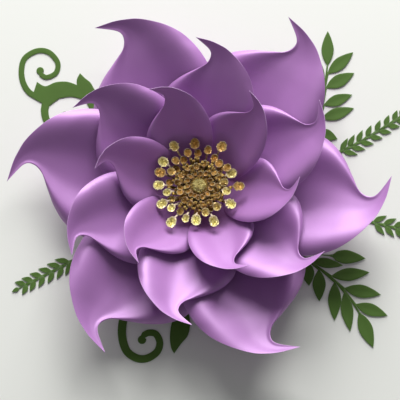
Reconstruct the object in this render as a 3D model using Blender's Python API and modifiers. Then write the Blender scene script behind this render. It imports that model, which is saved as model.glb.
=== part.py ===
"""A giant paper flower for a wall: three rings of hooked card petals, gold stamens and green sprays.

The flower lies on its back. The origin is the centre of the rear face of its backing disc, +Z points
out of the flower's face, and +Y is up when it hangs on a wall. All sizes are in metres.
"""

import math

import bmesh
import bpy
from mathutils import Matrix, Vector

COLLECTION = "paper_flower"
MM = 0.001

# Card, backing and the glue gap between two sheets
PETAL_CARD = 0.0004
GREEN_CARD = 0.0004
GOLD_CARD = 0.0004
DISC_THICKNESS = 0.001
GLUE_GAP = 0.0003

# Reach of the three rings, from the flower's axis to the hooked tips
OUTER_REACH = 0.245
MIDDLE_REACH = 0.184
INNER_REACH = 0.129

# How far a ring climbs above the one below by its tips, and how late it climbs: 1 is a straight
# slope, more is a curve that ends steep
OUTER_RISE = 0.056
MIDDLE_RISE = 0.052
INNER_RISE = 0.050
OUTER_CURVE = 1.8
MIDDLE_CURVE = 1.25
INNER_CURVE = 1.45

# Each petal is cupped round a nearly flat floor, its long edges roll back, and its back edge is
# lifted over the next petal. All this fades in over CUP_LENGTH, and the cup and the rolled edges
# get weaker towards the narrow tip
CUP = 0.92
CUP_FLOOR = 0.12
ROLL_BACK = 0.88
OUTER_TWIST = 0.16
MIDDLE_TWIST = 0.18
INNER_TWIST = 0.23
CUP_STARTS = 0.050
CUP_LENGTH = 0.080
TIP_STARTS = 0.74
TIP_LENGTH = 0.24
TIP_FLATTER = 0.50
TIP_UNROLLED = 0.50

# Where the tips of each ring point, in degrees from +X, as the maker glued them
OUTER_ANGLES = (61.8, 123.3, 179.0, 241.5, 301.3, 1.5)
MIDDLE_ANGLES = (90.6, 149.3, 211.4, 268.2, 329.7, 32.9)
INNER_ANGLES = (117.9, 174.3, 236.0, 300.4, 359.9, 58.9)

# The petals' cut outline in millimetres, its tip on +X: both edges from the glued tab to the tip. The
# tab is the stretch between the first two points, and the card folds up at FOLD_AT
PATTERN_REACH = 243.0
FOLD_AT = 47.0
HOOK_EDGE = ((19, 8), (38, 16), (56, 24), (74, 39), (100, 57), (128, 66), (153, 63), (172, 48),
             (185, 28), (194, 5), (201, -14), (212, -24), (224, -22), (243, 0))
BACK_EDGE = ((19, -8), (38, -16), (53, -29), (61, -58), (84, -81), (114, -94), (143, -96), (168, -91),
             (188, -81), (205, -68), (220, -53), (229, -39), (236, -24), (243, 0))
ACROSS = (-1.0, -0.74, -0.33, 0.33, 0.74, 1.0)

# The greenery's stems start just outside the petals' tabs, at STEMS_FROM in the outline's millimetres,
# and each is glued down over STEM_GLUED, to the rim of the backing disc
STEMS_FROM = 56.5
STEM_GLUED = 0.008
STEM_START = STEMS_FROM * OUTER_REACH / PATTERN_REACH
DISC_RADIUS = STEM_START + STEM_GLUED
DISC_SIDES = 40

# Stamens: fringed rings of gold card, nested from the widest at the bottom, round a rolled button.
# Each stalk bends up from its hub and ends in a flat oval club
FRINGE_HUBS = (0.0130, 0.0120, 0.0105, 0.0092)
FRINGE_TOPS = (0.0395, 0.0405, 0.0410, 0.0405)
CLUB_LENGTHS = (0.0150, 0.0115, 0.0090, 0.0070)
CLUB_WIDTHS = (0.0122, 0.0098, 0.0074, 0.0052)
CLUB_SHAPE = ((0.18, 0.75), (0.52, 1.0), (0.86, 0.68))
STALK_WIDTH = 0.0022
STALK_BEND = 1.15

# Where the clubs of each fringe stand, as cut and bent by hand: the stalk's direction in degrees, and
# the club's middle in millimetres from the flower's axis. The short fringes are cut evenly
LONG_CLUBS = ((20, 44), (60, 58), (96, 55), (122, 61), (146, 58), (161, 53), (179, 52), (206, 55),
              (233, 59), (265, 45), (292, 50), (329, 47), (358, 51))
MIDDLE_CLUBS = ((6, 32), (32, 42), (48, 38), (76, 47), (109, 45), (133, 44), (153, 40), (192, 42),
                (219, 46), (248, 46), (283, 36), (309, 36), (347, 36))
SHORT_CLUBS_AT = 27.5
INNER_CLUBS_AT = 16.5
BUTTON_RADIUS = 0.0080
BUTTON_STEM = 0.0050
BUTTON_TOP = 0.0400
BUTTON_DOME = 0.0040
BUTTON_SIDES = 16

# Greenery: widths of the stems, and the half-width of a leaflet along its length
SPRAY_STEM = 4.0
FERN_STEM = 2.6
BROAD_LEAF = ((0.0, 0.12), (0.22, 0.75), (0.48, 1.0), (0.78, 0.58))
FERN_LEAF = ((0.0, 0.3), (0.35, 1.0), (0.72, 0.62))

LILAC = (0.46, 0.27, 0.55, 1.0)
GREEN = (0.06, 0.16, 0.04, 1.0)
GOLD = (0.55, 0.36, 0.08, 1.0)
BACKING = (0.40, 0.24, 0.48, 1.0)


class Ring:
    """One ring of petals: its reach, its part in the bowl, its twist and its tips' directions."""

    def __init__(self, name, level, reach, rise, curve, twist, angles):
        self.name = name
        self.level = level
        self.reach = reach
        self.rise = rise
        self.curve = curve
        self.twist = twist
        self.angles = angles
        self.scale = reach / (PATTERN_REACH * MM)
        self.fold = FOLD_AT * MM * self.scale


RINGS = (
    Ring("outer", 0, OUTER_REACH, OUTER_RISE, OUTER_CURVE, OUTER_TWIST, OUTER_ANGLES),
    Ring("middle", 1, MIDDLE_REACH, MIDDLE_RISE, MIDDLE_CURVE, MIDDLE_TWIST, MIDDLE_ANGLES),
    Ring("inner", 2, INNER_REACH, INNER_RISE, INNER_CURVE, INNER_TWIST, INNER_ANGLES),
)


def clear_scene():
    for thing in list(bpy.data.objects):
        bpy.data.objects.remove(thing, do_unlink=True)


def card(name, colour, roughness=0.5, metallic=0.0):
    """A card finish: one Principled material."""
    material = bpy.data.materials.new(name)
    material.use_nodes = True
    shader = material.node_tree.nodes["Principled BSDF"]
    shader.inputs["Base Color"].default_value = colour
    shader.inputs["Roughness"].default_value = roughness
    shader.inputs["Metallic"].default_value = metallic
    material.diffuse_color = colour
    return material


def add_object(name, data, colour, roughness=0.5, metallic=0.0):
    thing = bpy.data.objects.new(name, data)
    bpy.data.collections[COLLECTION].objects.link(thing)
    thing.data.materials.append(card(name + "_finish", colour, roughness, metallic))
    return thing


def add_mesh(name, points, faces, colour, roughness=0.5, metallic=0.0):
    mesh = bpy.data.meshes.new(name)
    mesh.from_pydata([tuple(point) for point in points], [], faces)
    mesh.update()
    return add_object(name, mesh, colour, roughness, metallic)


def thicken(thing, thickness):
    """Give an open sheet the thickness of its card, half to each side, and shade it as a sheet."""
    solid = thing.modifiers.new("card_thickness", "SOLIDIFY")
    solid.thickness = thickness
    solid.offset = 0.0
    thing.data.shade_smooth()
    thing.modifiers.new("card_shading", "WEIGHTED_NORMAL")


def along(points, place):
    """A smooth curve through points, read at place, which counts the points from 0."""
    last = len(points) - 1
    index = min(int(place), last - 1)
    part = place - index
    before = Vector(points[max(index - 1, 0)])
    start = Vector(points[index])
    end = Vector(points[index + 1])
    after = Vector(points[min(index + 2, last)])
    return 0.5 * (2 * start + (end - before) * part
                  + (2 * before - 5 * start + 4 * end - after) * part ** 2
                  + (3 * start - before - 3 * end + after) * part ** 3)


def smoothstep(value):
    value = min(max(value, 0.0), 1.0)
    return value * value * (3 - 2 * value)


def climb(radius, ring):
    """How far a ring's own rise lifts the card at a radius, easing in from its fold."""
    run = max(radius - ring.fold, 0.0) / (ring.reach - ring.fold)
    return ring.rise * run ** ring.curve


def step_over_stems(radius):
    """How far the card steps up outside the tabs, to pass over the stems glued to the disc."""
    tab_end = Vector(HOOK_EDGE[1]).length * MM * RINGS[0].scale
    run = (radius - tab_end) / (STEM_START - tab_end)
    return (GREEN_CARD + GLUE_GAP) * smoothstep(run)


def bowl(radius, level):
    """Height of the bowl that a ring of petals follows: its own climb on top of the rings below."""
    return step_over_stems(radius) + sum(climb(radius, ring) for ring in RINGS[:level + 1])


def tab_height(level):
    """Middle of the card of a ring's glued tabs, on the backing disc and the rings below."""
    return DISC_THICKNESS + (level + 1) * GLUE_GAP + (level + 0.5) * PETAL_CARD


def cross_shape(across, tipward):
    """Height of the cupped and rolled card across a petal, as a share of its half width."""
    cup = CUP * (1 - TIP_FLATTER * tipward)
    roll_back = ROLL_BACK * (1 - TIP_UNROLLED * tipward)
    return cup * (math.sqrt(across ** 4 + CUP_FLOOR ** 2) - roll_back * across ** 4)


def petal_point(ring, row, across):
    """A point of a petal's sheet: row runs from tab to tip, across from the back to the hooked edge."""
    hook = along(HOOK_EDGE, row) * ring.scale * MM
    back = along(BACK_EDGE, row) * ring.scale * MM
    flat = back.lerp(hook, (across + 1) / 2)
    half_width = (hook - back).length / 2
    radius = flat.length
    shaped = smoothstep((radius - CUP_STARTS * ring.scale) / (CUP_LENGTH * ring.scale))
    tipward = smoothstep((radius / ring.reach - TIP_STARTS) / TIP_LENGTH)
    crossing = half_width * cross_shape(across, tipward)
    rise = bowl(radius, ring.level) + shaped * (crossing - ring.twist * flat.y)
    return Vector((flat.x, flat.y, tab_height(ring.level) + rise))


def add_petal(ring, number, angle):
    """One petal, lofted between its two cut edges, and turned to its place in the ring."""
    turn = Matrix.Rotation(math.radians(angle), 3, "Z")
    last = len(HOOK_EDGE) - 1
    points = [turn @ petal_point(ring, row, across) for row in range(last) for across in ACROSS]
    points.append(turn @ petal_point(ring, last, 0.0))
    width = len(ACROSS)
    faces = []
    for row in range(last - 1):
        for column in range(width - 1):
            corner = row * width + column
            faces.append((corner, corner + width, corner + width + 1, corner + 1))
    for column in range(width - 1):
        corner = (last - 1) * width + column
        faces.append((corner, len(points) - 1, corner + 1))
    petal = add_mesh(f"{ring.name}_petal_{number}", points, faces, LILAC, 0.42)
    thicken(petal, PETAL_CARD)


def add_backing_disc():
    """The card disc that everything is glued to, and that the flower rests on."""
    mesh = bpy.data.meshes.new("back_disc")
    shape = bmesh.new()
    middle = Matrix.Translation((0, 0, DISC_THICKNESS / 2))
    bmesh.ops.create_cone(shape, cap_ends=True, segments=DISC_SIDES, radius1=DISC_RADIUS,
                          radius2=DISC_RADIUS, depth=DISC_THICKNESS, matrix=middle)
    shape.to_mesh(mesh)
    shape.free()
    add_object("back_disc", mesh, BACKING, 0.6)


class Fringe:
    """One fringed ring of gold card: a hub, and stalks that bend up to oval clubs."""

    def __init__(self, level, clubs):
        self.level = level
        self.hub = FRINGE_HUBS[level]
        self.top = FRINGE_TOPS[level]
        self.club_length = CLUB_LENGTHS[level]
        self.club_width = CLUB_WIDTHS[level]
        self.clubs = clubs


def even_clubs(count, first, middle):
    """Clubs at even angles, with every other one a little further in."""
    return tuple((first + 360.0 * number / count, middle * (1.0 - 0.08 * (number % 2)))
                 for number in range(count))


FRINGES = (
    Fringe(0, LONG_CLUBS),
    Fringe(1, MIDDLE_CLUBS),
    Fringe(2, even_clubs(14, 20.0, SHORT_CLUBS_AT)),
    Fringe(3, even_clubs(14, 4.0, INNER_CLUBS_AT)),
)


def hub_height(level):
    """Middle of the card of a fringe's hub, on the inner petals' tabs and the hubs below."""
    tabs_top = tab_height(len(RINGS) - 1) + PETAL_CARD / 2
    return tabs_top + (level + 1) * GLUE_GAP + (level + 0.5) * GOLD_CARD


def stalk_sections(fringe, angle, middle):
    """Edges of one stalk from hub to neck, then its club, as rows of points."""
    turn = Matrix.Rotation(math.radians(angle), 3, "Z")
    neck = middle * MM - fringe.club_length / 2
    base = hub_height(fringe.level)
    pairs = []
    for part in (0.0, 0.45, 1.0):
        radius = fringe.hub + (neck - fringe.hub) * part
        height = base + (fringe.top - base) * part ** STALK_BEND
        pairs.append([turn @ Vector((radius, side * STALK_WIDTH / 2, height))
                      for side in (-1, 1)])
    club = []
    for place, share in CLUB_SHAPE:
        club.append([turn @ Vector((neck + place * fringe.club_length,
                                    side * share * fringe.club_width / 2, fringe.top))
                     for side in (-1, 1)])
    return pairs, club


def add_fringe(fringe):
    """A fringed ring as one sheet: a hub, and from its rim the stalks and their clubs."""
    points = []
    faces = []
    rim = []
    for angle, middle in fringe.clubs:
        pairs, club = stalk_sections(fringe, angle, middle)
        first = len(points)
        for pair in pairs + club:
            points.extend(pair)
        rim.extend((first, first + 1))
        for row in range(len(pairs) - 1):
            corner = first + 2 * row
            faces.append((corner, corner + 2, corner + 3, corner + 1))
        neck = first + 2 * (len(pairs) - 1)
        right = [neck + 2 * row for row in range(len(club) + 1)]
        left = [corner + 1 for corner in reversed(right)]
        faces.append(tuple(right + left))
    faces.append(tuple(rim))
    name = f"stamen_fringe_{fringe.level + 1}"
    thicken(add_mesh(name, points, faces, GOLD, 0.35, 0.6), GOLD_CARD)


def add_button():
    """The rolled and fringed button at the centre, turned about the flower's axis."""
    foot = hub_height(len(FRINGES) - 1) + GOLD_CARD / 2 + GLUE_GAP
    shoulder = BUTTON_TOP - BUTTON_DOME
    flare = shoulder - (BUTTON_RADIUS - BUTTON_STEM)
    dome = [(BUTTON_RADIUS * math.cos(turn), shoulder + BUTTON_DOME * math.sin(turn))
            for turn in (math.radians(step) for step in (90, 60, 30, 0))]
    profile = [(0.0, dome[0][1])] + dome[1:] + [(BUTTON_STEM, flare), (BUTTON_STEM, foot),
                                                (0.0, foot)]
    mesh = bpy.data.meshes.new("centre_button")
    edges = [(corner, corner + 1) for corner in range(len(profile) - 1)]
    mesh.from_pydata([(radius, 0.0, height) for radius, height in profile], edges, [])
    button = add_object("centre_button", mesh, GOLD, 0.35, 0.6)
    turned = button.modifiers.new("turned", "SCREW")
    turned.axis = "Z"
    turned.steps = BUTTON_SIDES
    turned.render_steps = BUTTON_SIDES
    turned.use_merge_vertices = True
    turned.merge_threshold = 0.00001


# Greenery: flat outlines in millimetres from the flower's axis, all cut from one green card

def side_of(points, place, offset):
    """A point beside a smooth curve through points: offset is positive to its left."""
    here = along(points, place)
    step = 0.02
    ahead = along(points, min(place + step, len(points) - 1))
    behind = along(points, max(place - step, 0))
    heading = (ahead - behind).normalized()
    return here + Vector((-heading.y, heading.x)) * offset


def leaflet(base, tip, width, shape, stalk=0.0):
    """Outline of one leaflet, round from the right of its base, over its tip, to the left. A stalk
    is the share of its length that stays as thin as its base."""
    base = Vector(base)
    run = Vector(tip) - base
    across = Vector((run.y, -run.x)).normalized() * width / 2
    if stalk:
        blade = [(stalk + (1 - stalk) * place, share) for place, share in shape]
        shape = [shape[0]] + blade
    right = [base + run * place + across * share for place, share in shape]
    left = [base + run * place - across * share for place, share in reversed(shape)]
    return right + [Vector(tip)] + left


def glued_end(toward, side=0.0):
    """Where a stem starts on the backing disc on its way to a point, or a corner beside that."""
    heading = Vector(toward).normalized()
    return heading * STEM_START / MM + Vector((-heading.y, heading.x)) * side


def bare_stem(stem, side, first_leaflet):
    """One side of a stem from its glued end to a little before its first leaflet."""
    reach = first_leaflet - 0.15
    steps = max(int(reach * 2), 1)
    return [side_of(stem, reach * step / steps, side) for step in range(steps + 1)]


def compound_leaf(stem, stem_width, end_leaflet, right, left, shape):
    """Outline of a stem with leaflets on both sides, each listed from the stem's glued end. A
    leaflet is its place along the stem, its tip, its width and, if it has one, its stalk."""
    half = stem_width / 2
    outline = bare_stem(stem, -half, right[0][0])
    for place, *blade in right:
        outline.extend(leaflet(side_of(stem, place, -half), blade[0], blade[1], shape, *blade[2:]))
    outline.extend(leaflet(stem[-1], end_leaflet[0], end_leaflet[1], shape))
    for place, *blade in reversed(left):
        outline.extend(leaflet(side_of(stem, place, half), blade[0], blade[1], shape, *blade[2:]))
    outline.extend(reversed(bare_stem(stem, half, left[0][0])))
    return outline


def add_cut_card(name, outline):
    """A flat piece of green card with this outline, glued on the backing disc."""
    curve = bpy.data.curves.new(name, "CURVE")
    curve.dimensions = "2D"
    curve.fill_mode = "BOTH"
    curve.extrude = GREEN_CARD / 2
    edge = curve.splines.new("POLY")
    edge.points.add(len(outline) - 1)
    for corner, point in zip(edge.points, outline):
        corner.co = (point[0] * MM, point[1] * MM, 0.0, 1.0)
    edge.use_cyclic_u = True
    piece = add_object(name, curve, GREEN, 0.6)
    piece.location.z = DISC_THICKNESS + GLUE_GAP + GREEN_CARD / 2


def top_spray():
    stem = (glued_end((79, 50)), (79, 50), (130, 64), (151, 80), (158, 104), (162, 132),
            (166, 165))
    right = ((2.9, (178, 66), 15), (3.6, (200, 107), 16), (4.3, (198, 125), 15),
             (5.1, (201, 154), 17), (5.6, (200, 182), 16))
    left = ((4.3, (140, 135), 13), (5.1, (148, 184), 13))
    return compound_leaf(stem, SPRAY_STEM, ((167, 211), 16), right, left, BROAD_LEAF)


def low_spray():
    stem = (glued_end((79, -50)), (79, -50), (115, -77), (137, -92), (166, -114), (185, -133),
            (203, -161))
    right = ((3.05, (139, -126), 16), (3.55, (152, -146), 17), (4.35, (171, -171), 17),
             (5.05, (191, -185), 16))
    left = ((2.5, (212, -91), 18, 0.45), (3.15, (183, -100), 13), (4.05, (217, -109), 17),
            (4.9, (231, -138), 17), (5.6, (239, -165), 16))
    return compound_leaf(stem, SPRAY_STEM, ((220, -206), 18), right, left, BROAD_LEAF)


def fern(bend, bare, tip, pairs):
    """A fern frond: a curved stem, bare to where it leaves the petals, then swept leaflets."""
    stem = (glued_end(bend), bend, bare, tip)
    right = []
    left = []
    for pair in range(pairs):
        place = 2.0 + 0.93 * pair / pairs
        heading = (along(stem, min(place + 0.03, 3)) - along(stem, place)).normalized()
        sideways = Vector((-heading.y, heading.x))
        length = 19.0 - 6.0 * pair / pairs
        for side, leaflets in ((1, left), (-1, right)):
            shift = place + (0.02 if side > 0 else 0.05)
            root = side_of(stem, shift, side * FERN_STEM / 2)
            forward = heading * 0.80 + sideways * side * 0.60
            leaflets.append((shift, root + forward * length, 6.2))
    end = Vector(tip) + (Vector(tip) - along(stem, 2.9)).normalized() * 11
    return compound_leaf(stem, FERN_STEM, (end, 5.5), right, left, FERN_LEAF)


def band(centre, widths, ball, ball_radius, steps):
    """Both sides of a curling band from its root, and the round ball that ends it."""
    last = len(centre) - 1
    places = [1 + (last - 1) * step / steps for step in range(steps + 1)]

    def half_width(place):
        return (widths[0] + (widths[1] - widths[0]) * place / last) / 2

    left = [side_of(centre, place, half_width(place)) for place in places]
    right = [side_of(centre, place, -half_width(place)) for place in places]
    ball = Vector(ball)
    start = (left[-1] - ball).angle_signed(Vector((1, 0)))
    finish = (right[-1] - ball).angle_signed(Vector((1, 0)))
    sweep = (start - finish) % (2 * math.pi)
    arc = [ball + Vector((math.cos(start - sweep * step / 8), math.sin(start - sweep * step / 8)))
           * ball_radius for step in range(1, 8)]
    return left, arc, right[::-1]


def upper_flourish():
    """A leafy trunk that ends in two scrolls."""
    trunk = (-92, 58)
    trunk_low = (glued_end(trunk, 4.6), (-89, 51), (-116, 73), (-136, 92), (-145, 106),
                 (-152, 120), (-162, 125), (-173, 127), (-187, 125))
    trunk_top = ((-217, 148), (-206, 142), (-193, 147), (-180, 148), (-171, 146), (-164, 143),
                 (-160, 159), (-153, 152), (-146, 146), (-140, 136), (-128, 120), (-119, 99),
                 (-95, 66), glued_end(trunk, -4.6))
    small = ((-197, 130), (-205, 117), (-206, 105), (-202, 94), (-192, 88), (-182, 88),
             (-175, 94), (-174, 100))
    large = ((-203, 127), (-223, 131), (-234, 144), (-238, 162), (-234, 180), (-218, 190),
             (-202, 188), (-190, 174), (-192, 160), (-204, 154), (-212, 158))
    small_out, small_ball, small_back = band(small, (11, 7), (-179, 102), 5.5, 12)
    large_out, large_ball, large_back = band(large, (8, 6.5), (-213, 163), 5.0, 20)
    return (list(trunk_low) + small_out + small_ball + small_back
            + large_out + large_ball + large_back + list(trunk_top))


def bottom_scroll():
    centre = (glued_end((-66, -110)), (-66, -110), (-95, -155), (-102, -182), (-97, -206),
              (-84, -217), (-70, -218), (-57, -210), (-53, -198), (-58, -187), (-67, -185), (-74, -188))
    out, ball, back = band(centre, (12, 8), (-76, -194), 5.5, 22)
    root = [side_of(centre, 0, 5), side_of(centre, 0, -5)]
    return [root[0]] + out + ball + back + [root[1]]


def bottom_leaf():
    stem = (-21.5, -148)
    return (glued_end(stem, -2.5), (-23, -148), (-32, -160), (-38, -174), (-40, -190),
            (-38.5, -204), (-34.5, -212), (-26, -200), (-17, -189), (-14, -175), (-16, -160), (-20, -148),
            glued_end(stem, 2.5))


def add_greenery():
    add_cut_card("top_spray", top_spray())
    add_cut_card("low_spray", low_spray())
    add_cut_card("upper_right_fern", fern((116, 36), (181, 49), (271, 101), 8))
    add_cut_card("right_fern", fern((129, -25), (221, -44), (293, -63), 6))
    add_cut_card("left_fern", fern((-110, -55), (-168, -91), (-236, -126), 6))
    add_cut_card("upper_flourish", upper_flourish())
    add_cut_card("bottom_scroll", bottom_scroll())
    add_cut_card("bottom_leaf", bottom_leaf())


def main():
    clear_scene()
    home = bpy.data.collections.new(COLLECTION)
    bpy.context.scene.collection.children.link(home)
    add_backing_disc()
    add_greenery()
    for ring in RINGS:
        for number, angle in enumerate(ring.angles, 1):
            add_petal(ring, number, angle)
    for fringe in FRINGES:
        add_fringe(fringe)
    add_button()


main()
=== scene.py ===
# %% [markdown]
# # A giant paper flower
#
# The flower is cut from card: eighteen hooked petals in three rings, a gold fringed centre, and flat
# green sprays behind. The build gives every sheet at its real size, but with few facets. This lesson
# lays finer sheets over the same shapes, and gives each kind of card its finish. We load the build
# first, because every piece that we make has to stand where the built one stands.

# %% Load the flower as it was built
import math
from collections import namedtuple

import bpy
from mathutils import Matrix, Vector, geometry, noise


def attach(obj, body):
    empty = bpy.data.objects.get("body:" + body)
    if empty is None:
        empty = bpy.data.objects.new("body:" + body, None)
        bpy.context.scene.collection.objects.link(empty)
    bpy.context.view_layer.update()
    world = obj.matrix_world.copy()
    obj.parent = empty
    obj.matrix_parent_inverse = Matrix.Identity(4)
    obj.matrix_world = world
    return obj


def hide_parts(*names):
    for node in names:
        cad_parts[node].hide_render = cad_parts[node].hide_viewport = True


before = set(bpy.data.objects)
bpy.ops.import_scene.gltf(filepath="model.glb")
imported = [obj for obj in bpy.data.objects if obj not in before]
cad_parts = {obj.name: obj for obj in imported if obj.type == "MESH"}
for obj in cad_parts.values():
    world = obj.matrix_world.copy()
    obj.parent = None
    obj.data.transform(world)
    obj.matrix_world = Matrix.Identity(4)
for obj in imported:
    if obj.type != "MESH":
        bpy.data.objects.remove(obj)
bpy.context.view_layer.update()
print("built pieces:", len(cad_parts))

# %% [markdown]
# ## The sizes that the maker started from
#
# A petal ring is described by a handful of numbers: how far its tips reach, how far the ring climbs
# above the one below, and how strongly the card is cupped and rolled. They are the values that the
# build uses, so a petal made here falls on the petal made there. All lengths are in metres, apart
# from the cut outline, which is drawn in millimetres as a maker would draw it.

# %% Sizes of the card, the rings and the cut outline
MM = 0.001
PETAL_CARD = 0.0004
GREEN_CARD = 0.0004
GOLD_CARD = 0.0004
GLUE_GAP = 0.0003
DISC_THICKNESS = 0.001
OUTER_REACH = 0.245

CUP = 0.92
CUP_FLOOR = 0.12
ROLL_BACK = 0.88
CUP_STARTS = 0.050
CUP_LENGTH = 0.080
TIP_STARTS = 0.74
TIP_LENGTH = 0.24
TIP_FLATTER = 0.50
TIP_UNROLLED = 0.50

PATTERN_REACH = 243.0
FOLD_AT = 47.0
HOOK_EDGE = ((19, 8), (38, 16), (56, 24), (74, 39), (100, 57), (128, 66), (153, 63), (172, 48),
             (185, 28), (194, 5), (201, -14), (212, -24), (224, -22), (243, 0))
BACK_EDGE = ((19, -8), (38, -16), (53, -29), (61, -58), (84, -81), (114, -94), (143, -96),
             (168, -91), (188, -81), (205, -68), (220, -53), (229, -39), (236, -24), (243, 0))

STEMS_START_AT = 56.5
STEM_START = STEMS_START_AT * OUTER_REACH / PATTERN_REACH


class Ring:
    """One ring of petals: how far it reaches, climbs and twists, and where its tips point."""

    def __init__(self, name, level, reach, rise, curve, twist, angles):
        self.name = name
        self.level = level
        self.reach = reach
        self.rise = rise
        self.curve = curve
        self.twist = twist
        self.angles = angles
        self.scale = reach / (PATTERN_REACH * MM)
        self.fold = FOLD_AT * MM * self.scale


RINGS = (
    Ring("outer", 0, OUTER_REACH, 0.056, 1.8, 0.16, (61.8, 123.3, 179.0, 241.5, 301.3, 1.5)),
    Ring("middle", 1, 0.184, 0.052, 1.25, 0.18, (90.6, 149.3, 211.4, 268.2, 329.7, 32.9)),
    Ring("inner", 2, 0.129, 0.050, 1.45, 0.23, (117.9, 174.3, 236.0, 300.4, 359.9, 58.9)),
)
print("petals:", sum(len(ring.angles) for ring in RINGS))

# %% [markdown]
# ## A smooth line through a few points
#
# The outlines are a dozen points each. A Catmull-Rom curve passes through all of them without
# corners, and needs only the four points round the place that is asked for. Blender's curve objects
# could do this too, but here we need single points of two curves at the same place.

# %% Curve helpers


def along(points, place):
    """A smooth curve through points, read at place, which counts the points from 0."""
    last = len(points) - 1
    index = min(int(place), last - 1)
    part = place - index
    before = Vector(points[max(index - 1, 0)])
    start = Vector(points[index])
    end = Vector(points[index + 1])
    after = Vector(points[min(index + 2, last)])
    return 0.5 * (2 * start + (end - before) * part
                  + (2 * before - 5 * start + 4 * end - after) * part ** 2
                  + (3 * start - before - 3 * end + after) * part ** 3)


def smoothstep(value):
    value = min(max(value, 0.0), 1.0)
    return value * value * (3 - 2 * value)


def mix(low, high, share):
    return low + (high - low) * share


print("half way along the hooked edge:", [round(value, 1) for value in along(HOOK_EDGE, 6.5)])

# %% [markdown]
# ## The bowl that the petals follow
#
# Each petal is glued flat by its tab, folds up, and climbs. A ring has to clear the ring below, so
# its height is its own climb on top of all the climbs under it. Near the tabs the card also steps up
# over the stems of the greenery, which are glued to the same disc.

# %% Heights of the rings


def climb(radius, ring):
    run = max(radius - ring.fold, 0.0) / (ring.reach - ring.fold)
    return ring.rise * run ** ring.curve


def step_over_stems(radius):
    tab_end = Vector(HOOK_EDGE[1]).length * MM * RINGS[0].scale
    return (GREEN_CARD + GLUE_GAP) * smoothstep((radius - tab_end) / (STEM_START - tab_end))


def bowl(radius, level):
    return step_over_stems(radius) + sum(climb(radius, ring) for ring in RINGS[:level + 1])


def tab_height(level):
    return DISC_THICKNESS + (level + 1) * GLUE_GAP + (level + 0.5) * PETAL_CARD


for ring in RINGS:
    tip = tab_height(ring.level) + bowl(ring.reach, ring.level)
    print(ring.name, "tips at", round(tip / MM), "mm")

# %% [markdown]
# ## Meshes, pieces and what they stand for
#
# Every sheet in this lesson is made the same way: points, faces, a thickness, a finish. One helper
# does it, and says which built node the new piece replaces, so that the two are never both shown.
# Most sheets are strips, lofted through rows of points. Numbers that a finish needs later, such as how
# far a point lies from the cut edge, travel with the mesh as attributes.

# %% Make a sheet of card


def add_object(name, data):
    made = bpy.data.objects.new(name, data)
    bpy.context.scene.collection.objects.link(made)
    return made


def add_piece(name, points, faces, finishes, node):
    mesh = bpy.data.meshes.new(name)
    mesh.from_pydata([tuple(point) for point in points], [], faces)
    mesh.update()
    mesh.shade_smooth()
    piece = add_object(name, mesh)
    for finish in finishes:
        mesh.materials.append(finish)
    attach(piece, "root")
    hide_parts(node)
    return piece


def add_attribute(piece, name, values):
    layer = piece.data.attributes.new(name, "FLOAT", "POINT")
    layer.data.foreach_set("value", values)


def thicken(piece, thickness):
    """Give the sheet its card's thickness. Its cut edge takes the second finish."""
    solid = piece.modifiers.new("card", "SOLIDIFY")
    solid.thickness = thickness
    solid.offset = 0.0
    solid.material_offset_rim = 1
    piece.modifiers.new("card_shading", "WEIGHTED_NORMAL")


def strip_faces(first, rows, width):
    """Quads of a strip with this many rows, each of width points, numbered from first."""
    return [(first + row * width + column, first + (row + 1) * width + column,
             first + (row + 1) * width + column + 1, first + row * width + column + 1)
            for row in range(rows - 1) for column in range(width - 1)]


print("faces of a strip with 3 rows of 2 points:", strip_faces(0, 3, 2))

# %% [markdown]
# ## Effects that several finishes share
#
# The lilac, the green and the gold card share how they were made and cut, so what shows that is built
# once, as node groups, and placed in each finish with its own values. A group could hold a whole
# shader too, but finishes that share one would all look alike, so ours only give masks, values and
# normals. A few helpers come first: they keep the nodes and their links together in the code.

# %% Node helpers


def set_inputs(node, values):
    """Set a node's inputs by name or number: a socket is linked, and a value is kept."""
    for name, value in values.items():
        if isinstance(value, bpy.types.NodeSocket):
            node.id_data.links.new(value, node.inputs[name])
        else:
            node.inputs[name].default_value = value


def add_node(tree, kind, inputs=None, **settings):
    node = tree.nodes.new(kind)
    for name, value in settings.items():
        setattr(node, name, value)
    set_inputs(node, inputs or {})
    return node


def new_group(name, inputs, outputs):
    """An empty node group with float inputs and their defaults, and outputs with their types."""
    tree = bpy.data.node_groups.new(name, "ShaderNodeTree")
    for socket, value in inputs.items():
        made = tree.interface.new_socket(name=socket, in_out="INPUT", socket_type="NodeSocketFloat")
        made.default_value = value
    for socket, kind in outputs.items():
        tree.interface.new_socket(name=socket, in_out="OUTPUT", socket_type=kind)
    return tree, add_node(tree, "NodeGroupInput"), add_node(tree, "NodeGroupOutput")


print("node groups so far:", len(bpy.data.node_groups))

# %% [markdown]
# Card is pressed fibre: a fine tooth that catches light, with some fibres drawn out one way, and a
# faint cloudiness in its colour. A scan of real card could give both. Noise does it without a
# picture, and it never repeats.

# %% The fibre of card
card_fibre, given, result = new_group(
    "card_fibre", {"Tooth": 2200.0, "Clouds": 22.0},
    {"Height": "NodeSocketFloat", "Clouding": "NodeSocketFloat"})
place = add_node(card_fibre, "ShaderNodeTexCoord").outputs["Object"]
tooth = add_node(card_fibre, "ShaderNodeTexNoise", {
    "Vector": place, "Scale": given.outputs["Tooth"], "Detail": 5.0, "Roughness": 0.65})
stretched = add_node(card_fibre, "ShaderNodeMapping", {"Vector": place, "Scale": (1.0, 0.12, 1.0)})
fibres = add_node(card_fibre, "ShaderNodeTexNoise", {
    "Vector": stretched.outputs["Vector"], "Scale": given.outputs["Tooth"], "Detail": 2.0})
both = add_node(card_fibre, "ShaderNodeMath", {
    0: fibres.outputs["Fac"], 1: 0.45, 2: tooth.outputs["Fac"]}, operation="MULTIPLY_ADD")
clouds = add_node(card_fibre, "ShaderNodeTexNoise", {
    "Vector": place, "Scale": given.outputs["Clouds"], "Detail": 3.0})
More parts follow.
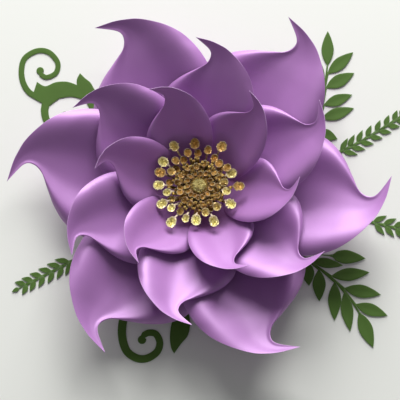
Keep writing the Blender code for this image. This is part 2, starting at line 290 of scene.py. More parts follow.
set_inputs(result, {"Height": both.outputs["Value"], "Clouding": clouds.outputs["Fac"]})
print("group:", card_fibre.name)

# %% [markdown]
# Scissors bruise the colour along a cut, so card is paler within a millimetre of its edge. Blender can
# find edges by tracing rays, but that is slow and finds every bend too. Our meshes know how far each
# point lies from the cut, and noise makes the width of the worn line uneven.

# %% The worn cut edge
cut_edge, given, result = new_group("cut_edge", {"Width": 0.0008}, {"Mask": "NodeSocketFloat"})
distance = add_node(cut_edge, "ShaderNodeAttribute", attribute_name="from_edge")
ragged = add_node(cut_edge, "ShaderNodeTexNoise", {"Scale": 260.0})
limit = add_node(cut_edge, "ShaderNodeMath", {
    0: given.outputs["Width"], 1: ragged.outputs["Fac"]}, operation="MULTIPLY")
near = add_node(cut_edge, "ShaderNodeMapRange", {
    "Value": distance.outputs["Fac"], "From Min": 0.0, "From Max": limit.outputs["Value"],
    "To Min": 1.0, "To Max": 0.0}, interpolation_type="SMOOTHSTEP")
set_inputs(result, {"Mask": near.outputs["Result"]})
print("group:", cut_edge.name)

# %% [markdown]
# Glitter is many small flat flakes that each face their own way. Real flakes as meshes would be
# millions of faces. A Voronoi texture splits the surface into cells instead, and the random colour of
# each cell tilts its normal, sets its tone and picks the few flakes that flash.

# %% Glitter flakes
glitter, given, result = new_group(
    "glitter_flakes", {"Flakes": 900.0, "Tilt": 0.8},
    {"Tone": "NodeSocketFloat", "Sparkle": "NodeSocketFloat", "Normal": "NodeSocketVector"})
place = add_node(glitter, "ShaderNodeTexCoord").outputs["Object"]
cells = add_node(glitter, "ShaderNodeTexVoronoi", {
    "Vector": place, "Scale": given.outputs["Flakes"]}).outputs["Color"]
split = add_node(glitter, "ShaderNodeSeparateColor", {"Color": cells})
centred = add_node(glitter, "ShaderNodeVectorMath", {0: cells, 1: (0.5, 0.5, 0.5)},
                   operation="SUBTRACT")
tilted = add_node(glitter, "ShaderNodeVectorMath", {
    0: centred.outputs["Vector"], "Scale": given.outputs["Tilt"]}, operation="SCALE")
surface = add_node(glitter, "ShaderNodeNewGeometry")
added = add_node(glitter, "ShaderNodeVectorMath", {
    0: surface.outputs["Normal"], 1: tilted.outputs["Vector"]}, operation="ADD")
unit = add_node(glitter, "ShaderNodeVectorMath", {0: added.outputs["Vector"]}, operation="NORMALIZE")
bright = add_node(glitter, "ShaderNodeMapRange", {
    "Value": split.outputs["Green"], "From Min": 0.72, "From Max": 0.86},
    interpolation_type="SMOOTHSTEP")
set_inputs(result, {"Tone": split.outputs["Red"], "Sparkle": bright.outputs["Result"],
                    "Normal": unit.outputs["Vector"]})
print("group:", glitter.name)

# %% [markdown]
# ## Finishes
#
# The petals are lilac card with a soft pearl surface. A little metal in a rough shader gives the
# pearl, a thin rough coat adds the paler shine where a petal faces the window, and the fibre is a very
# fine bump. A sheen would do on cloth, but it lights up every turned edge, which card doesn't. The
# green and the backing card have neither pearl nor coat. A cut edge is a second, plainer finish.

# %% Card finishes
FIBRE_TOOTH = 2200.0
FIBRE_HEIGHT = 0.0001
WORN_WIDTH = 0.0011
COAT_ROUGHNESS = 0.5
EDGE_CLOUDS = 60.0
EDGE_SHADE = 0.88


def start_material(name):
    material = bpy.data.materials.new(name)
    material.use_nodes = True
    return material, material.node_tree, material.node_tree.nodes["Principled BSDF"]


def mix_colours(tree, low, high, share):
    """A socket with a blend of two colours; each is a colour or a socket, and share is a socket."""
    # A Mix node has sockets of one name for each kind of value. 6, 7 and 2 are those for colours.
    low, high = [(*end, 1.0) if isinstance(end, tuple) else end for end in (low, high)]
    blend = add_node(tree, "ShaderNodeMix", {0: share, 6: low, 7: high}, data_type="RGBA")
    return blend.outputs[2]


def card_finish(name, deep, pale, worn, roughness, bump, clouds, pearl=0.0, coat=0.0):
    """Card: its colour drifts between deep and pale, and is worn at the cut edge."""
    material, tree, shader = start_material(name)
    fibre = add_node(tree, "ShaderNodeGroup", {"Tooth": FIBRE_TOOTH, "Clouds": clouds},
                     node_tree=card_fibre)
    edge = add_node(tree, "ShaderNodeGroup", {"Width": WORN_WIDTH}, node_tree=cut_edge)
    drift = mix_colours(tree, deep, pale, fibre.outputs["Clouding"])
    relief = add_node(tree, "ShaderNodeBump", {
        "Strength": bump, "Distance": FIBRE_HEIGHT, "Height": fibre.outputs["Height"]})
    set_inputs(shader, {
        "Base Color": mix_colours(tree, drift, worn, edge.outputs["Mask"]),
        "Normal": relief.outputs["Normal"], "Roughness": roughness, "Metallic": pearl,
        "Coat Weight": coat, "Coat Roughness": COAT_ROUGHNESS})
    return material


def plain_finish(name, colour, roughness):
    """The cut edge of card: pressed fibre in one colour."""
    material, tree, shader = start_material(name)
    fibre = add_node(tree, "ShaderNodeGroup", {"Clouds": EDGE_CLOUDS}, node_tree=card_fibre)
    darker = tuple(EDGE_SHADE * value for value in colour)
    set_inputs(shader, {"Base Color": mix_colours(tree, darker, colour, fibre.outputs["Clouding"]),
                        "Roughness": roughness})
    return material


petal_card = card_finish("lilac_petal_card", (0.38, 0.165, 0.44), (0.43, 0.195, 0.50),
                         (0.56, 0.33, 0.63), 0.50, 0.25, 22.0, pearl=0.15, coat=0.5)
petal_edge = plain_finish("lilac_card_edge", (0.60, 0.40, 0.68), 0.7)
leaf_card = card_finish("green_leaf_card", (0.051, 0.115, 0.010), (0.069, 0.149, 0.017),
                        (0.10, 0.18, 0.05), 0.8, 0.35, 40.0)
leaf_edge = plain_finish("green_card_edge", (0.08, 0.16, 0.04), 0.75)
backing_card = card_finish("lilac_backing_card", (0.40, 0.24, 0.48), (0.45, 0.28, 0.53),
                           (0.55, 0.38, 0.62), 0.65, 0.4, 30.0)
print("card finishes:", petal_card.name, leaf_card.name, backing_card.name)

# %% [markdown]
# Glitter card is glue with metal flakes on it. The flakes are metal, the glue between them is not,
# and both follow the glitter group. Light and shade are painted into its colour: it runs from a
# painted shaded amber, deepest between the short fringes, to a pale yellow gold at the tips of the
# long lit ones, and each point of the mesh says how lit it is painted. The rims of the lit clubs get
# a painted cream highlight, and stalks are so narrow that the card's pale core shows along them,
# more on the lit ones, which is painted light too. One material for each degree of light would do
# too, but then no club could lie between two of them.

# %% Gold glitter card
# Both ambers are painted shade: the gold card as it looks in shadow, lit mostly by bounced light.
SHADED_AMBER = (0.33, 0.135, 0.004)
DEEPER_SHADED_AMBER = (0.20, 0.072, 0.002)
OLIVE_GOLD = (0.34, 0.265, 0.025)
PALE_GOLD = (0.86, 0.76, 0.25)
# This cream is a painted highlight for the rims of lit clubs, the strips' edges and the bristle tips.
HIGHLIGHT_CREAM = (0.82, 0.74, 0.42)
CARD_CORE = (0.78, 0.62, 0.55)

glitter_card, tree, shader = start_material("gold_glitter_card")
flakes = add_node(tree, "ShaderNodeGroup", {"Flakes": 620.0, "Tilt": 0.7}, node_tree=glitter)
marks = {name: add_node(tree, "ShaderNodeAttribute", attribute_name=name).outputs["Fac"]
         for name in ("tone", "rim", "bare")}
shaded_gold = mix_colours(tree, DEEPER_SHADED_AMBER, SHADED_AMBER, flakes.outputs["Tone"])
gold = mix_colours(tree, OLIVE_GOLD, PALE_GOLD, flakes.outputs["Tone"])
# Each point's painted share of light blends the shaded amber into the lit gold; the rims then take the
# painted highlight.
lit_or_shaded = mix_colours(tree, shaded_gold, gold, marks["tone"])
rimmed = mix_colours(tree, lit_or_shaded, HIGHLIGHT_CREAM, marks["rim"])
metal = add_node(tree, "ShaderNodeMapRange", {
    "Value": flakes.outputs["Sparkle"], "To Min": 0.05, "To Max": 0.55})
gloss = add_node(tree, "ShaderNodeMapRange", {
    "Value": flakes.outputs["Sparkle"], "To Min": 0.75, "To Max": 0.40})
set_inputs(shader, {
    "Base Color": mix_colours(tree, rimmed, CARD_CORE, marks["bare"]),
    "Normal": flakes.outputs["Normal"], "Metallic": metal.outputs["Result"],
    "Roughness": gloss.outputs["Result"]})
glitter_edge = plain_finish("glitter_card_edge", (0.70, 0.60, 0.36), 0.6)
print("glitter finish:", glitter_card.name)

# %% [markdown]
# ## Petals
#
# A petal is a flat cut shape that was cupped over a spoon and had both long edges rolled back over a
# dowel. We loft the sheet between its two cut edges: for each place along the petal a row of points
# runs across, from the back edge to the hooked edge. The columns crowd together near the edges, where
# the roll is tightest. The roll fades towards the tip, which is too narrow to go round a dowel. Hands
# are not machines, so each petal also gets a slight bend of its own.

# %% Shape of one petal
ROW_STEPS = 8
COLUMNS = 32
HAND_BEND = 0.0012
BEND_SIZE = 0.11


def hand_bend(ring, number, spot):
    """A small uneven bend that no other petal shares."""
    apart = Vector((0, 0, 3.7 * number + 31.0 * ring.level))
    return HAND_BEND * ring.scale * noise.noise(spot / (BEND_SIZE * ring.scale) + apart)


def cross_shape(across, tipward):
    """Height of the cupped and rolled card across a petal, as a share of its half width."""
    cup = CUP * (1 - TIP_FLATTER * tipward)
    roll_back = ROLL_BACK * (1 - TIP_UNROLLED * tipward)
    return cup * (math.sqrt(across ** 4 + CUP_FLOOR ** 2) - roll_back * across ** 4)


def petal_row(ring, number, row):
    """Points of one row across a petal with its tip on +X, and their distances from the cut edge."""
    hook = along(HOOK_EDGE, row) * ring.scale * MM
    back = along(BACK_EDGE, row) * ring.scale * MM
    half_width = (hook - back).length / 2
    points = []
    margins = []
    for column in range(COLUMNS + 1):
        across = math.sin(math.pi * (column / COLUMNS - 0.5))
        flat = back.lerp(hook, (across + 1) / 2)
        radius = flat.length
        shaped = smoothstep((radius - CUP_STARTS * ring.scale) / (CUP_LENGTH * ring.scale))
        tipward = smoothstep((radius / ring.reach - TIP_STARTS) / TIP_LENGTH)
        crossing = half_width * cross_shape(across, tipward)
        rise = bowl(radius, ring.level) + shaped * (crossing - ring.twist * flat.y)
        rise += shaped * hand_bend(ring, number, flat.to_3d())
        points.append(Vector((flat.x, flat.y, tab_height(ring.level) + rise)))
        margins.append(half_width * (1 - abs(across)))
    return points, margins


def add_petal(ring, number, angle):
    turn = Matrix.Rotation(math.radians(angle), 3, "Z")
    rows = (len(HOOK_EDGE) - 1) * ROW_STEPS
    points = []
    margins = []
    for step in range(rows):
        row_points, row_margins = petal_row(ring, number, step / ROW_STEPS)
        points.extend(turn @ point for point in row_points)
        margins.extend(row_margins)
    tip_points, tip_margins = petal_row(ring, number, rows / ROW_STEPS)
    points.append(turn @ tip_points[0])
    margins.append(tip_margins[0])
    width = COLUMNS + 1
    last_row = (rows - 1) * width
    faces = strip_faces(0, rows, width)
    faces += [(last_row + column, len(points) - 1, last_row + column + 1)
              for column in range(COLUMNS)]
    petal = add_piece(f"{ring.name}_petal_sheet_{number}", points, faces, (petal_card, petal_edge),
                      f"{ring.name}_petal_{number}")
    add_attribute(petal, "from_edge", margins)
    thicken(petal, PETAL_CARD)
    return petal


for ring in RINGS:
    for number, angle in enumerate(ring.angles, 1):
        petal = add_petal(ring, number, angle)
    print(ring.name, "petals, quads in each sheet:", len(petal.data.polygons))

# %% [markdown]
# ## Stamens
#
# Four fringes of glitter card are nested in each other. Each is a small round hub with stalks that
# bend up and out, and each stalk ends in an oval club, dished a little where the punch pressed it.
# Copies of one perfect fringe would look stamped, so clubs are listed one by one where the eye can
# follow them, and scattered by fixed noise where it can't. A club is its angle in degrees, the
# distance of its middle from the axis in millimetres, and how lit it is painted, from 0 for painted
# shade to 1 for lit: the clubs that lie in shade get low values.

# %% Where the clubs stand
LONG_CLUBS = ((20, 44, 0.7), (60, 58, 0.16), (96, 55, 0.06), (122, 61, 0.4), (146, 55.5, 0.8),
              (161, 53, 0.1), (179, 52, 0.75), (206, 53, 0.9), (233, 59, 1.0), (265, 45, 1.0),
              (292, 50, 1.0), (329, 47, 1.0), (358, 51, 0.14))
MIDDLE_CLUBS = ((6, 32, 0.35), (32, 42, 0.1), (48, 38, 0.05), (76, 47, 0.08), (109, 45, 0.06),
                (133, 44, 0.12), (153, 40, 0.2), (192, 42, 0.85), (219, 46, 0.85), (248, 46, 1.0),
                (283, 36, 0.4), (309, 36, 0.4), (347, 36, 0.75))
CLUB_STRAY_TURN = 8.0
CLUB_STRAY_REACH = 0.09
CLUB_SET_IN = 0.08


def scatter(*numbers):
    """A fixed value from -1 to 1 for up to three numbers, different for each set."""
    spot = Vector([0.731 * number + 0.37 for number in (*numbers, 0, 0)[:3]])
    return max(-1.0, min(1.0, 1.6 * noise.noise(spot * 3.1)))


def even_clubs(count, first, middle, tone):
    """Clubs all round, with every other one a little further in, and none quite in its place."""
    clubs = []
    for number in range(count):
        angle = first + 360.0 * number / count + CLUB_STRAY_TURN * scatter(number, count)
        inward = 1.0 - CLUB_SET_IN * (number % 2) + CLUB_STRAY_REACH * scatter(count, number)
        clubs.append((angle, middle * inward, tone))
    return tuple(clubs)


class Fringe:
    """One fringe: its hub and top, its clubs and how unevenly they sit, and what lies between.

    The clubs of its under layer are lower by under_drop. Its curled strips are given by their
    count, how far they reach and how high the highest is.
    """

    def __init__(self, level, hub, top, club_size, droop, roll, under_drop, curls, clubs):
        self.level = level
        self.hub = hub
        self.top = top
        self.club_length, self.club_width = club_size
        self.droop = droop
        self.roll = roll
        self.under_drop = under_drop
        self.curl_count, self.curl_reach, self.curl_top = curls
        self.clubs = clubs
        tabs_top = tab_height(len(RINGS) - 1) + PETAL_CARD / 2
        self.base = tabs_top + (level + 1) * GLUE_GAP + (level + 0.5) * GOLD_CARD


# The clubs of the two short fringes are painted almost wholly in shade.
FRINGES = (
    Fringe(0, 0.0130, 0.0395, (0.0150, 0.0122), 0.16, 0.28, 0.0, (0, 0.0, 0.0), LONG_CLUBS),
    Fringe(1, 0.0120, 0.0405, (0.0115, 0.0098), 0.20, 0.30, 0.0050, (52, 0.0335, 0.0420),
           MIDDLE_CLUBS),
    Fringe(2, 0.0105, 0.0410, (0.0090, 0.0074), 0.50, 0.90, 0.0035, (64, 0.0255, 0.0432),
           even_clubs(14, 20.0, 27.5, 0.1)),
    Fringe(3, 0.0092, 0.0405, (0.0070, 0.0052), 0.50, 0.90, 0.0025, (46, 0.0175, 0.0412),
           even_clubs(14, 4.0, 16.5, 0.05)),
)
print("clubs in each fringe:", [len(fringe.clubs) for fringe in FRINGES])

# %% [markdown]
# A stalk is lofted as rows across, like a petal: twelve rows climb from the hub to the neck, and
# twelve more run over the club. The rows carry two more values for the finish: how far a point lies in
# the club's rim, which gets a painted highlight, and how much of the card's bare core it shows.

# %% One stalk with its club
STALK_WIDTH = 0.0022
STALK_BEND = 1.15
STALK_ROWS = 12
CLUB_ROWS = 12
STALK_COLUMNS = 6
DISH = 0.0011
RAGGED = 0.22
DROOP_OF_ALL = 0.05
SIDE_RIM_FROM = 0.55
END_RIM_FROM = 0.6
RIM_FADE = 0.3
# The painted rim highlight on a club in full shade, and how much pale core a lit and a shaded stalk
# show: lit stalks are painted paler.
SHADED_RIM_HIGHLIGHT = 0.1
LIT_STALK_CORE = 0.75
SHADED_STALK_CORE = 0.25


class Stalk:
    """A stalk and its club: direction, middle of the club, top, and the club's size and tilts."""

    def __init__(self, fringe, angle, middle, tone, drop=0.0, size=1.0):
        self.angle = angle
        self.hub = fringe.hub
        self.base = fringe.base
        self.top = fringe.top - drop
        self.length = fringe.club_length * size
        self.width = fringe.club_width * size
        self.neck = middle * MM - self.length / 2
        self.tone = tone
        self.droop = fringe.droop * scatter(angle, fringe.level, drop * 900) - DROOP_OF_ALL
        self.roll = fringe.roll * scatter(fringe.level, drop * 700, angle)


def stalk_row(stalk, step):
    """Points across one row of a stalk or club, with each point's painted rim highlight and bare card.
    """
    turn = Matrix.Rotation(math.radians(stalk.angle), 3, "Z")
    part = min(step / STALK_ROWS, 1.0)
    place = max(step - STALK_ROWS, 0) / CLUB_ROWS
    radius = mix(stalk.hub, stalk.neck, part) + place * stalk.length
    height = mix(stalk.base, stalk.top, part ** STALK_BEND) + stalk.droop * place * stalk.length
    round_half = stalk.width / 2 * math.sqrt(max(1 - (2 * place - 1) ** 2, 0.0))
    half = max(round_half, STALK_WIDTH / 2 * (1 - smoothstep(place * 2)))
    half *= 1 + RAGGED * smoothstep(place * 4) * scatter(step * 3, stalk.angle)
    on_club = smoothstep(place * 6)
    near_end = smoothstep((abs(2 * place - 1) - END_RIM_FROM) / RIM_FADE) if place else 0.0
    points = []
    rims = []
    for column in range(STALK_COLUMNS + 1):
        across = 2 * column / STALK_COLUMNS - 1
        dish = DISH * smoothstep(place * 3) * ((2 * place - 1) ** 2 + across ** 2 - 1)
        tilt = stalk.roll * smoothstep(place * 3) * across * half
        points.append(turn @ Vector((radius, across * half, height + dish + tilt)))
        near_side = smoothstep((abs(across) - SIDE_RIM_FROM) / RIM_FADE)
        # The rim's painted highlight is full on lit clubs and faint on shaded ones.
        rims.append(on_club * max(near_side, near_end) * mix(SHADED_RIM_HIGHLIGHT, 1.0, stalk.tone))
    # A lit stalk shows more pale core than a shaded one, which is painted light.
    core = LIT_STALK_CORE if stalk.tone > 0.5 else SHADED_STALK_CORE
    return points, rims, [core * (1 - on_club)] * len(points)


print("rows in a stalk and its club:", STALK_ROWS + CLUB_ROWS)

# %% [markdown]
# Between the clubs the fringes are cut much finer, and these narrow strips are curled over a needle.
# They make the dense middle of the flower, painted in the amber of gold in shade. Hair curves could
# stand in for them, but a strip of card is flat and has two cut edges, so each is a thin sheet that
# climbs like a stalk and ends in a loop. Their reach, height and lean are scattered by the same fixed
# noise.

# %% One curled strip
CURL_WIDTH = 0.0036
CURL_ACROSS = (-1.0, -0.62, 0.62, 1.0)
# The outer edges of a strip get a little of the painted rim highlight.
CURL_EDGE_HIGHLIGHTS = (0.25, 0.0, 0.0, 0.25)
CURL_BEND = 1.3
CURL_DROP = 0.0024
CURL_STRAY_TURN = 6.0
CURL_STRAY_REACH = 0.20
LOOP_RADIUS = 0.0023
LOOP_TURN = 290.0
LOOP_TIGHTENS = 0.35
CLIMB_STEPS = 5
LOOP_STEPS = 9


def curled_strip(fringe, number):
    """Rows of points from the hub to the end of the loop."""
    level = fringe.level
    angle = 360.0 * number / fringe.curl_count + CURL_STRAY_TURN * scatter(number, level)
    turn = Matrix.Rotation(math.radians(angle), 3, "Z")
    reach = fringe.curl_reach * (1 + CURL_STRAY_REACH * scatter(level, number, 5))
    top = fringe.curl_top - CURL_DROP * (1 + scatter(number, 7, level))
    lean = scatter(number, level, 3)
    loop = Vector((reach, top - LOOP_RADIUS))
    path = []
    for step in range(CLIMB_STEPS):
        part = step / CLIMB_STEPS
        path.append(Vector((mix(fringe.hub, reach, part),
                            mix(fringe.base, loop.y - LOOP_RADIUS, part ** CURL_BEND))))
    for step in range(LOOP_STEPS + 1):
        around = math.radians(-90 + LOOP_TURN * step / LOOP_STEPS)
        radius = LOOP_RADIUS * (1 - LOOP_TIGHTENS * step / LOOP_STEPS)
        path.append(loop + Vector((math.cos(around), math.sin(around))) * radius)
    rows = []
    for place, spot in enumerate(path):
        tilt = lean * smoothstep(place / CLIMB_STEPS)
        out = CURL_WIDTH / 2 * Vector((math.cos(tilt), math.sin(tilt)))
        rows.append([turn @ Vector((spot.x, side * out.x, spot.y + side * out.y))
                     for side in CURL_ACROSS])
    return rows


print("curled strips:", sum(fringe.curl_count for fringe in FRINGES))

# %% [markdown]
# A fringe is one sheet, so all its stalks and curled strips become one mesh, joined by the round face
# of the hub. Under the clubs that the build has lie more of the same, a little lower and smaller,
# which fill the gaps in deep amber, which is painted shade.

# %% Build the fringes
UNDER_SIZE = 0.92
# How lit the under layer is painted: it is painted mostly in shade.
UNDER_LIT_SHARE = 0.3
UNDER_REACH = 0.90
UNDER_STRAY = 0.08
# How lit the curled strips are painted, mostly in shade, and how much that varies.
CURL_LIT_SHARE = 0.24
CURL_LIT_SHARE_SPREAD = 0.18


class GlitterSheet:
    """Gathers one piece of glitter card: points, faces, and each point's marks for the finish."""

    def __init__(self):
        self.points = []
        self.faces = []
        self.marks = {"tone": [], "rim": [], "bare": []}

    def add_points(self, points, **marks):
        """Add points with their marks, each a list or one value, and say which point is the first."""
        first = len(self.points)
        self.points.extend(points)
        for name, values in self.marks.items():
            mark = marks.get(name, 0.0)
            values.extend(mark if isinstance(mark, list) else [mark] * len(points))
        return first

    def add_strip(self, rows, **marks):
        first = self.add_points([point for row in rows for point in row], **marks)
        self.faces += strip_faces(first, len(rows), len(rows[0]))
        return first

    def make(self, name, node, thickness):
        piece = add_piece(name, self.points, self.faces, (glitter_card, glitter_edge),
                          node)
        for mark, values in self.marks.items():
            add_attribute(piece, mark, values)
        thicken(piece, thickness)
        return piece


def fringe_stalks(fringe):
    """The stalks of a fringe, and under all but the longest, a second layer between them."""
    stalks = [Stalk(fringe, *club) for club in fringe.clubs]
    if not fringe.under_drop:
        return stalks
    for number, (angle, middle, tone) in enumerate(fringe.clubs):
        next_angle, next_middle, next_lit_share = fringe.clubs[(number + 1) % len(fringe.clubs)]
        between = angle + ((next_angle - angle) % 360) / 2
        inward = UNDER_REACH + UNDER_STRAY * scatter(number, fringe.level)
        stalks.append(Stalk(fringe, between, inward * (middle + next_middle) / 2,
                            UNDER_LIT_SHARE * min(tone, next_lit_share), fringe.under_drop, UNDER_SIZE))
    return sorted(stalks, key=lambda stalk: stalk.angle % 360)


def add_fringe(fringe):
    sheet = GlitterSheet()
    hub = []
    for stalk in fringe_stalks(fringe):
        steps = [stalk_row(stalk, step) for step in range(STALK_ROWS + CLUB_ROWS + 1)]
        rows, rims, bare = zip(*steps)
        first = sheet.add_strip(rows, tone=stalk.tone, rim=sum(rims, []), bare=sum(bare, []))
        hub.extend(range(first, first + len(rows[0])))
    sheet.faces.append(tuple(hub))
    for number in range(fringe.curl_count):
        rows = curled_strip(fringe, number)
        tone = CURL_LIT_SHARE + CURL_LIT_SHARE_SPREAD * scatter(fringe.level, 11, number)
        sheet.add_strip(rows, tone=tone, rim=list(CURL_EDGE_HIGHLIGHTS) * len(rows))
    name = f"stamen_fringe_card_{fringe.level + 1}"
    return sheet.make(name, f"stamen_fringe_{fringe.level + 1}", GOLD_CARD)


for fringe in FRINGES:
    print("fringe", fringe.level + 1, "faces:", len(add_fringe(fringe).data.polygons))

# %% [markdown]
# ## The button
#
# The middle of the flower is a strip of glitter card with one edge cut into fine bristles, rolled up
# tight. Seen from above it is a round head of bristle tips that splay outwards. A bumpy dome would
# show the tips but not the gaps between them, so we model the bristles one by one, in rings from the
# middle out: the outer ones lean over, the inner ones stand up.

# %% Bristles of the rolled button
BUTTON_TOP = 0.0400
BUTTON_FOOT = FRINGES[-1].base + GOLD_CARD / 2 + GLUE_GAP
BUTTON_STEM = 0.0048
BRISTLE_WIDTH = 0.0011
BRISTLE_THICKNESS = 0.0002
BRISTLE_BEND = 0.0045
BRISTLE_TAPER = 0.3
BRISTLE_STRAY_TURN = 0.25
BRISTLE_STRAY_REACH = 0.06
BRISTLE_STEPS = 6

# Where a ring of bristles stands, how far they bend out, how far they end above the button's top,
# how many there are, and how lit they are painted: the inner rings are painted lit, the outer two in
# shade.
BristleRing = namedtuple("BristleRing", "foot reach above count tone")
BRISTLE_RINGS = (
    BristleRing(0.0003, 0.0022, 0.0036, 9, 1.0),
    BristleRing(0.0010, 0.0038, 0.0032, 15, 1.0),
    BristleRing(0.0018, 0.0054, 0.0026, 21, 1.0),
    BristleRing(0.0026, 0.0069, 0.0019, 26, 1.0),
    BristleRing(0.0034, 0.0086, 0.0010, 30, 1.0),
    BristleRing(0.0040, 0.0105, -0.0002, 36, 0.35),
    BristleRing(0.0046, 0.0128, -0.0018, 40, 0.2),
)


def bristle(ring, number):
    """Rows of two points: a bristle stands up from the roll and bends over outwards."""
    place = number + BRISTLE_STRAY_TURN * scatter(number, ring.count) + 0.5 * (ring.count % 2)
    turn = Matrix.Rotation(2 * math.pi * place / ring.count, 3, "Z")
    reach = ring.reach * (1 + BRISTLE_STRAY_REACH * scatter(ring.count, number))
    rows = []
    for step in range(BRISTLE_STEPS + 1):
        bend = math.pi / 2 * step / BRISTLE_STEPS
        radius = mix(ring.foot, reach, 1 - math.cos(bend))
        height = BUTTON_TOP + ring.above - BRISTLE_BEND * (1 - math.sin(bend))
        half = BRISTLE_WIDTH / 2 * (1 - BRISTLE_TAPER * step / BRISTLE_STEPS)
        rows.append([turn @ Vector((radius, side * half, height)) for side in (-1, 1)])
    return rows


print("bristles:", sum(ring.count for ring in BRISTLE_RINGS))

# %% [markdown]
# Under the bristles the strip is simply wound on itself, so the rest of the button is a short round
# post. Its turns can't be seen, so it isn't wound but turned, from a profile of radius and height.

# %% Build the button
POST_PROFILE = ((0.0012, BUTTON_TOP - 0.0035), (0.0036, BUTTON_TOP - 0.0052),
                (BUTTON_STEM, BUTTON_TOP - 0.0085), (BUTTON_STEM, BUTTON_FOOT))
POST_SIDES = 32
# How lit the post and the bristles are painted, how much that varies, and how strong the painted
# highlight on lit bristle tips is.
POST_LIT_SHARE = 0.4
BRISTLE_LIT_SHARE = 0.8
BRISTLE_LIT_SHARE_SPREAD = 0.2
BRISTLE_TIP_HIGHLIGHT = 0.8


def turned_post(profile, sides, first):
    """Points and faces of a post that is turned from a profile, and closed at both ends."""
    turns = [Matrix.Rotation(2 * math.pi * side / sides, 3, "Z") for side in range(sides)]
    points = [turn @ Vector((radius, 0.0, height)) for radius, height in profile for turn in turns]
    end = first + len(points) - 1
    faces = []
    for low in range(first, end - sides, sides):
        for side in range(sides):
            ahead = (side + 1) % sides
            faces.append((low + side, low + sides + side, low + sides + ahead, low + ahead))
    faces.append(tuple(range(first, first + sides)))
    faces.append(tuple(range(end, end - sides, -1)))
    return points, faces


def add_button():
    sheet = GlitterSheet()
    for ring in BRISTLE_RINGS:
        for number in range(ring.count):
            # The tips of lit bristles are painted paler still, as a painted highlight.
            stray = BRISTLE_LIT_SHARE_SPREAD * scatter(number, 5, ring.count)
            tone = ring.tone * (BRISTLE_LIT_SHARE + stray)
            sheet.add_strip(bristle(ring, number), tone=tone, rim=BRISTLE_TIP_HIGHLIGHT * max(tone - 0.5, 0.0))
    post, post_faces = turned_post(POST_PROFILE, POST_SIDES, len(sheet.points))
    sheet.add_points(post, tone=POST_LIT_SHARE)
    sheet.faces += post_faces
    return sheet.make("bristled_button", "centre_button", BRISTLE_THICKNESS)


print("faces in the button:", len(add_button().data.polygons))

# %% [markdown]
# ## Greenery
#
# Leaves, ferns and scrolls are flat shapes cut from green card. Each starts as an outline, in
# millimetres as seen from above. A leaflet is told by its two ends, its width and a few shares of
# that width, so that all leaflets of a spray share one pattern, as if cut round the same template.

# %% Leaflets and their stems


def side_of(points, place, offset):
    """A point beside a smooth curve through points: offset is positive to its left."""
    here = along(points, place)
    step = 0.02
    ahead = along(points, min(place + step, len(points) - 1))
    behind = along(points, max(place - step, 0))
    heading = (ahead - behind).normalized()
    return here + Vector((-heading.y, heading.x)) * offset


def glued_end(toward, side=0.0):
    """Where a stem starts on the backing disc on its way to a point, or a corner beside that."""
    heading = Vector(toward).normalized()
    return heading * STEM_START / MM + Vector((-heading.y, heading.x)) * side


def smooth_run(points, steps=5):
    """The points of a smooth line through these, without the last one."""
    count = (len(points) - 1) * steps
    return [along(points, step / steps) for step in range(count)]


class Leaflet:
    """One leaflet: where it starts and ends, how wide it is, and how its width changes."""

    def __init__(self, base, tip, width, shape, stalk=0.0):
        self.base = Vector(base)
        self.run = Vector(tip) - self.base
        self.half = width / 2
        self.shape = tuple(shape) + ((1.0, 0.0),)
        if stalk:
            self.shape = (shape[0],) + tuple((stalk + (1 - stalk) * place, share)
                                             for place, share in self.shape)

    def edge(self, side, steps=4):
        across = Vector((self.run.y, -self.run.x)).normalized() * self.half * side
        places = smooth_run(self.shape, steps)
        return [self.base + self.run * place.x + across * place.y for place in places]

    def outline(self):
        return self.edge(1) + [self.base + self.run] + self.edge(-1)[::-1]

    def local(self, point):
        """Place along the leaflet from 0 to 1, and distance from its midrib in half widths."""
        away = point - self.base
        length = self.run.length
        place = away.dot(self.run) / length ** 2
        across = (away.x * self.run.y - away.y * self.run.x) / length
        return place, across / self.half


BROAD_LEAF = ((0.0, 0.12), (0.22, 0.75), (0.48, 1.0), (0.78, 0.58))
FERN_LEAF = ((0.0, 0.3), (0.35, 1.0), (0.72, 0.62))
print("points in a leaflet's outline:", len(Leaflet((0, 0), (40, 0), 15, BROAD_LEAF).outline()))

# %% [markdown]
# A spray is one cut piece: leaflets and stem share an outline. Separate leaflets laid over a stem would
# look alike from far off, but their doubled card would show at the joints. So the outline runs up the
# right side of the stem, round each leaflet on its way, over the end one, and back down the left.

# %% Sprays
SPRAY_STEM = 4.0


def one_side(stem, offset, blades, shape):
    """One side of a stem: the bare edge below its first leaflet, and its leaflets."""
    leaflets = [Leaflet(side_of(stem, place, offset), tip, width, shape, *stalk)
                for place, tip, width, *stalk in blades]
    reach = blades[0][0] - 0.15
    steps = max(int(reach * 6), 1)
    return [side_of(stem, reach * step / steps, offset) for step in range(steps + 1)], leaflets


def compound_leaf(stem, stem_width, end_leaflet, right, left, shape):
    """Outline of a stem with leaflets on both sides, and its leaflets."""
    right_edge, right_leaflets = one_side(stem, -stem_width / 2, right, shape)
    left_edge, left_leaflets = one_side(stem, stem_width / 2, left, shape)
    leaflets = right_leaflets + [Leaflet(stem[-1], *end_leaflet, shape)] + left_leaflets[::-1]
    round_leaflets = [point for leaflet in leaflets for point in leaflet.outline()]
    return right_edge + round_leaflets + left_edge[::-1], leaflets


def top_spray():
    stem = (glued_end((79, 50)), (79, 50), (130, 64), (151, 80), (158, 104), (162, 132),
            (166, 165))
    right = ((2.9, (178, 66), 15), (3.6, (200, 107), 16), (4.3, (198, 125), 15),
             (5.1, (201, 154), 17), (5.6, (200, 182), 16))
    left = ((4.3, (140, 135), 13), (5.1, (148, 184), 13))
    return compound_leaf(stem, SPRAY_STEM, ((167, 211), 16), right, left, BROAD_LEAF)


